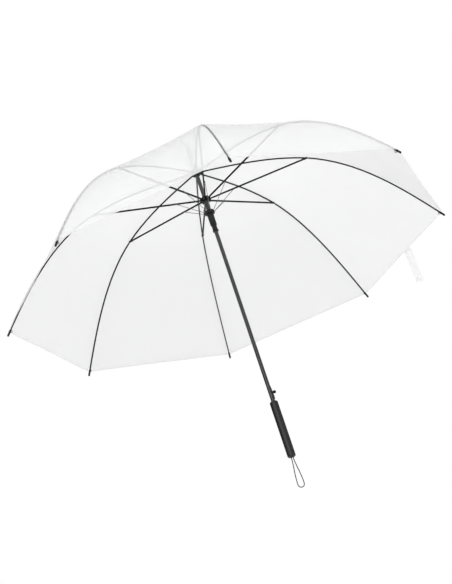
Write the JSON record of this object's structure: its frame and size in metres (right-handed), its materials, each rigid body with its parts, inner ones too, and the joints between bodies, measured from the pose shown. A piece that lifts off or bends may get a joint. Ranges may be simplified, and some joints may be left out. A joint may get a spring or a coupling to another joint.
{
  "type": "stick umbrella",
  "caption": "Auto-open stick umbrella with a clear frosted film canopy on eight black ribs, a straight grip with a release button, a ferrule and a wrist cord.",
  "frame": {"origin": "middle of the grip, on the shaft's axis", "axes": "+Z along the shaft from the grip to the ferrule, +X towards the release button, rib 1 along +X"},
  "size_m": [1.0548, 1.0548, 0.8876],
  "materials": {
    "frame_black": "satin black",
    "plastic_black": "moulded",
    "grip_black": "satin",
    "cord_black": "round cord",
    "wire": "drawn wire",
    "film_clear": "frosted clear film"
  },
  "bodies": {
    "handle": {"shaft": "frame_black", "ferrule": "plastic_black", "crown_notch": "plastic_black", "crown_cap": "plastic_black", "grip": "grip_black", "grip_end_plug": "plastic_black", "wrist_strap": "cord_black"},
    "runner_body": {"runner": "plastic_black", "opening_spring": "wire"},
    "sleeve_body": {"sleeve": "plastic_black"},
    "button_body": {"release_button": "plastic_black"},
    "rib_1_body": {"rib_1": "frame_black", "canopy_inner_1": "film_clear"},
    "rib_outer_1_body": {"rib_outer_1": "frame_black", "canopy_outer_1": "film_clear", "tie_strap": "film_clear"},
    "stretcher_1_body": {"stretcher_1": "frame_black"},
    "control_rod_1_body": {"control_rod_1": "wire"},
    "rib_2_body": {"rib_2": "frame_black", "canopy_inner_2": "film_clear"},
    "rib_outer_2_body": {"rib_outer_2": "frame_black", "canopy_outer_2": "film_clear"},
    "stretcher_2_body": {"stretcher_2": "frame_black"},
    "control_rod_2_body": {"control_rod_2": "wire"},
    "rib_3_body": {"rib_3": "frame_black", "canopy_inner_3": "film_clear"},
    "rib_outer_3_body": {"rib_outer_3": "frame_black", "canopy_outer_3": "film_clear"},
    "stretcher_3_body": {"stretcher_3": "frame_black"},
    "control_rod_3_body": {"control_rod_3": "wire"},
    "rib_4_body": {"rib_4": "frame_black", "canopy_inner_4": "film_clear"},
    "rib_outer_4_body": {"rib_outer_4": "frame_black", "canopy_outer_4": "film_clear"},
    "stretcher_4_body": {"stretcher_4": "frame_black"},
    "control_rod_4_body": {"control_rod_4": "wire"},
    "rib_5_body": {"rib_5": "frame_black", "canopy_inner_5": "film_clear"},
    "rib_outer_5_body": {"rib_outer_5": "frame_black", "canopy_outer_5": "film_clear"},
    "stretcher_5_body": {"stretcher_5": "frame_black"},
    "control_rod_5_body": {"control_rod_5": "wire"},
    "rib_6_body": {"rib_6": "frame_black", "canopy_inner_6": "film_clear"},
    "rib_outer_6_body": {"rib_outer_6": "frame_black", "canopy_outer_6": "film_clear"},
    "stretcher_6_body": {"stretcher_6": "frame_black"},
    "control_rod_6_body": {"control_rod_6": "wire"},
    "rib_7_body": {"rib_7": "frame_black", "canopy_inner_7": "film_clear"},
    "rib_outer_7_body": {"rib_outer_7": "frame_black", "canopy_outer_7": "film_clear"},
    "stretcher_7_body": {"stretcher_7": "frame_black"},
    "control_rod_7_body": {"control_rod_7": "wire"},
    "rib_8_body": {"rib_8": "frame_black", "canopy_inner_8": "film_clear"},
    "rib_outer_8_body": {"rib_outer_8": "frame_black", "canopy_outer_8": "film_clear"},
    "stretcher_8_body": {"stretcher_8": "frame_black"},
    "control_rod_8_body": {"control_rod_8": "wire"}
  },
  "joints": [
    {"name": "open_close", "type": "hinge", "parent": "handle", "child": "rib_1_body", "pos_m": [0.0115, 0, 0.669], "axis": [0, 1, 0], "range_deg": [0, 79], "stiffness_Nm_per_rad": 1.2, "springref_deg": -57.3, "deforming": ["canopy_inner_1", "canopy_inner_2", "canopy_inner_3", "canopy_inner_4", "canopy_inner_5", "canopy_inner_6", "canopy_inner_7", "canopy_inner_8", "canopy_outer_1", "canopy_outer_2", "canopy_outer_3", "canopy_outer_4", "canopy_outer_5", "canopy_outer_6", "canopy_outer_7", "canopy_outer_8", "tie_strap"]},
    {"name": "stretcher_1_fold", "type": "hinge", "parent": "rib_1_body", "child": "stretcher_1_body", "pos_m": [0.264, 0, 0.6315], "axis": [0, 1, 0], "range_deg": [-158, 0]},
    {"name": "rib_1_flex", "type": "hinge", "parent": "rib_1_body", "child": "rib_outer_1_body", "pos_m": [0.264, 0, 0.6315], "axis": [0, 1, 0], "range_deg": [-38, 0]},
    {"name": "control_rod_1_fold", "type": "hinge", "parent": "stretcher_1_body", "child": "control_rod_1_body", "pos_m": [0.07233, 0, 0.60303], "axis": [0, 1, 0], "range_deg": [0, 28.35]},
    {"name": "rib_2_fold", "type": "hinge", "parent": "handle", "child": "rib_2_body", "pos_m": [0.00813, 0.00813, 0.669], "axis": [-0.7071, 0.7071, 0], "range_deg": [0, 79]},
    {"name": "stretcher_2_fold", "type": "hinge", "parent": "rib_2_body", "child": "stretcher_2_body", "pos_m": [0.18668, 0.18668, 0.6315], "axis": [-0.7071, 0.7071, 0], "range_deg": [-158, 0]},
    {"name": "rib_2_flex", "type": "hinge", "parent": "rib_2_body", "child": "rib_outer_2_body", "pos_m": [0.18668, 0.18668, 0.6315], "axis": [-0.7071, 0.7071, 0], "range_deg": [-38, 0]},
    {"name": "control_rod_2_fold", "type": "hinge", "parent": "stretcher_2_body", "child": "control_rod_2_body", "pos_m": [0.05115, 0.05115, 0.60303], "axis": [-0.7071, 0.7071, 0], "range_deg": [0, 28.35]},
    {"name": "rib_3_fold", "type": "hinge", "parent": "handle", "child": "rib_3_body", "pos_m": [0, 0.0115, 0.669], "axis": [-1, 0, 0], "range_deg": [0, 79]},
    {"name": "stretcher_3_fold", "type": "hinge", "parent": "rib_3_body", "child": "stretcher_3_body", "pos_m": [0, 0.264, 0.6315], "axis": [-1, 0, 0], "range_deg": [-158, 0]},
    {"name": "rib_3_flex", "type": "hinge", "parent": "rib_3_body", "child": "rib_outer_3_body", "pos_m": [0, 0.264, 0.6315], "axis": [-1, 0, 0], "range_deg": [-38, 0]},
    {"name": "control_rod_3_fold", "type": "hinge", "parent": "stretcher_3_body", "child": "control_rod_3_body", "pos_m": [0, 0.07233, 0.60303], "axis": [-1, 0, 0], "range_deg": [0, 28.35]},
    {"name": "rib_4_fold", "type": "hinge", "parent": "handle", "child": "rib_4_body", "pos_m": [-0.00813, 0.00813, 0.669], "axis": [-0.7071, -0.7071, 0], "range_deg": [0, 79]},
    {"name": "stretcher_4_fold", "type": "hinge", "parent": "rib_4_body", "child": "stretcher_4_body", "pos_m": [-0.18668, 0.18668, 0.6315], "axis": [-0.7071, -0.7071, 0], "range_deg": [-158, 0]},
    {"name": "rib_4_flex", "type": "hinge", "parent": "rib_4_body", "child": "rib_outer_4_body", "pos_m": [-0.18668, 0.18668, 0.6315], "axis": [-0.7071, -0.7071, 0], "range_deg": [-38, 0]},
    {"name": "control_rod_4_fold", "type": "hinge", "parent": "stretcher_4_body", "child": "control_rod_4_body", "pos_m": [-0.05115, 0.05115, 0.60303], "axis": [-0.7071, -0.7071, 0], "range_deg": [0, 28.35]},
    {"name": "rib_5_fold", "type": "hinge", "parent": "handle", "child": "rib_5_body", "pos_m": [-0.0115, 0, 0.669], "axis": [0, -1, 0], "range_deg": [0, 79]},
    {"name": "stretcher_5_fold", "type": "hinge", "parent": "rib_5_body", "child": "stretcher_5_body", "pos_m": [-0.264, 0, 0.6315], "axis": [0, -1, 0], "range_deg": [-158, 0]},
    {"name": "rib_5_flex", "type": "hinge", "parent": "rib_5_body", "child": "rib_outer_5_body", "pos_m": [-0.264, 0, 0.6315], "axis": [0, -1, 0], "range_deg": [-38, 0]},
    {"name": "control_rod_5_fold", "type": "hinge", "parent": "stretcher_5_body", "child": "control_rod_5_body", "pos_m": [-0.07233, 0, 0.60303], "axis": [0, -1, 0], "range_deg": [0, 28.35]},
    {"name": "rib_6_fold", "type": "hinge", "parent": "handle", "child": "rib_6_body", "pos_m": [-0.00813, -0.00813, 0.669], "axis": [0.7071, -0.7071, 0], "range_deg": [0, 79]},
    {"name": "stretcher_6_fold", "type": "hinge", "parent": "rib_6_body", "child": "stretcher_6_body", "pos_m": [-0.18668, -0.18668, 0.6315], "axis": [0.7071, -0.7071, 0], "range_deg": [-158, 0]},
    {"name": "rib_6_flex", "type": "hinge", "parent": "rib_6_body", "child": "rib_outer_6_body", "pos_m": [-0.18668, -0.18668, 0.6315], "axis": [0.7071, -0.7071, 0], "range_deg": [-38, 0]},
    {"name": "control_rod_6_fold", "type": "hinge", "parent": "stretcher_6_body", "child": "control_rod_6_body", "pos_m": [-0.05115, -0.05115, 0.60303], "axis": [0.7071, -0.7071, 0], "range_deg": [0, 28.35]},
    {"name": "rib_7_fold", "type": "hinge", "parent": "handle", "child": "rib_7_body", "pos_m": [0, -0.0115, 0.669], "axis": [1, 0, 0], "range_deg": [0, 79]},
    {"name": "stretcher_7_fold", "type": "hinge", "parent": "rib_7_body", "child": "stretcher_7_body", "pos_m": [0, -0.264, 0.6315], "axis": [1, 0, 0], "range_deg": [-158, 0]},
    {"name": "rib_7_flex", "type": "hinge", "parent": "rib_7_body", "child": "rib_outer_7_body", "pos_m": [0, -0.264, 0.6315], "axis": [1, 0, 0], "range_deg": [-38, 0]},
    {"name": "control_rod_7_fold", "type": "hinge", "parent": "stretcher_7_body", "child": "control_rod_7_body", "pos_m": [0, -0.07233, 0.60303], "axis": [1, 0, 0], "range_deg": [0, 28.35]},
    {"name": "rib_8_fold", "type": "hinge", "parent": "handle", "child": "rib_8_body", "pos_m": [0.00813, -0.00813, 0.669], "axis": [0.7071, 0.7071, 0], "range_deg": [0, 79]},
    {"name": "stretcher_8_fold", "type": "hinge", "parent": "rib_8_body", "child": "stretcher_8_body", "pos_m": [0.18668, -0.18668, 0.6315], "axis": [0.7071, 0.7071, 0], "range_deg": [-158, 0]},
    {"name": "rib_8_flex", "type": "hinge", "parent": "rib_8_body", "child": "rib_outer_8_body", "pos_m": [0.18668, -0.18668, 0.6315], "axis": [0.7071, 0.7071, 0], "range_deg": [-38, 0]},
    {"name": "control_rod_8_fold", "type": "hinge", "parent": "stretcher_8_body", "child": "control_rod_8_body", "pos_m": [0.05115, -0.05115, 0.60303], "axis": [0.7071, 0.7071, 0], "range_deg": [0, 28.35]},
    {"name": "runner_on_stretcher", "type": "hinge", "parent": "stretcher_1_body", "child": "runner_body", "pos_m": [0.0115, 0, 0.594], "axis": [0, 1, 0], "range_deg": [0, 79]},
    {"name": "sleeve_slide", "type": "slide", "parent": "runner_body", "child": "sleeve_body", "axis": [0, 0, 1], "range_m": [0, 0.02038], "deforming": ["opening_spring"]},
    {"name": "button_press", "type": "slide", "parent": "handle", "child": "button_body", "axis": [-1, 0, 0], "range_m": [0, 0.002], "stiffness_N_per_m": 600, "springref_m": -0.001}
  ],
  "couplings": [
    {"joint": "stretcher_1_fold", "follows": "open_close", "ratio": -2},
    {"joint": "rib_1_flex", "follows": "open_close", "ratio": -0.475},
    {"joint": "control_rod_1_fold", "follows": "open_close", "ratio": 0.35627},
    {"joint": "rib_2_fold", "follows": "open_close", "ratio": 1},
    {"joint": "stretcher_2_fold", "follows": "open_close", "ratio": -2},
    {"joint": "rib_2_flex", "follows": "open_close", "ratio": -0.475},
    {"joint": "control_rod_2_fold", "follows": "open_close", "ratio": 0.35627},
    {"joint": "rib_3_fold", "follows": "open_close", "ratio": 1},
    {"joint": "stretcher_3_fold", "follows": "open_close", "ratio": -2},
    {"joint": "rib_3_flex", "follows": "open_close", "ratio": -0.475},
    {"joint": "control_rod_3_fold", "follows": "open_close", "ratio": 0.35627},
    {"joint": "rib_4_fold", "follows": "open_close", "ratio": 1},
    {"joint": "stretcher_4_fold", "follows": "open_close", "ratio": -2},
    {"joint": "rib_4_flex", "follows": "open_close", "ratio": -0.475},
    {"joint": "control_rod_4_fold", "follows": "open_close", "ratio": 0.35627},
    {"joint": "rib_5_fold", "follows": "open_close", "ratio": 1},
    {"joint": "stretcher_5_fold", "follows": "open_close", "ratio": -2},
    {"joint": "rib_5_flex", "follows": "open_close", "ratio": -0.475},
    {"joint": "control_rod_5_fold", "follows": "open_close", "ratio": 0.35627},
    {"joint": "rib_6_fold", "follows": "open_close", "ratio": 1},
    {"joint": "stretcher_6_fold", "follows": "open_close", "ratio": -2},
    {"joint": "rib_6_flex", "follows": "open_close", "ratio": -0.475},
    {"joint": "control_rod_6_fold", "follows": "open_close", "ratio": 0.35627},
    {"joint": "rib_7_fold", "follows": "open_close", "ratio": 1},
    {"joint": "stretcher_7_fold", "follows": "open_close", "ratio": -2},
    {"joint": "rib_7_flex", "follows": "open_close", "ratio": -0.475},
    {"joint": "control_rod_7_fold", "follows": "open_close", "ratio": 0.35627},
    {"joint": "rib_8_fold", "follows": "open_close", "ratio": 1},
    {"joint": "stretcher_8_fold", "follows": "open_close", "ratio": -2},
    {"joint": "rib_8_flex", "follows": "open_close", "ratio": -0.475},
    {"joint": "control_rod_8_fold", "follows": "open_close", "ratio": 0.35627},
    {"joint": "runner_on_stretcher", "follows": "open_close", "ratio": 1},
    {"joint": "sleeve_slide", "follows": "open_close", "m_per_rad": 0.014708}
  ]
}
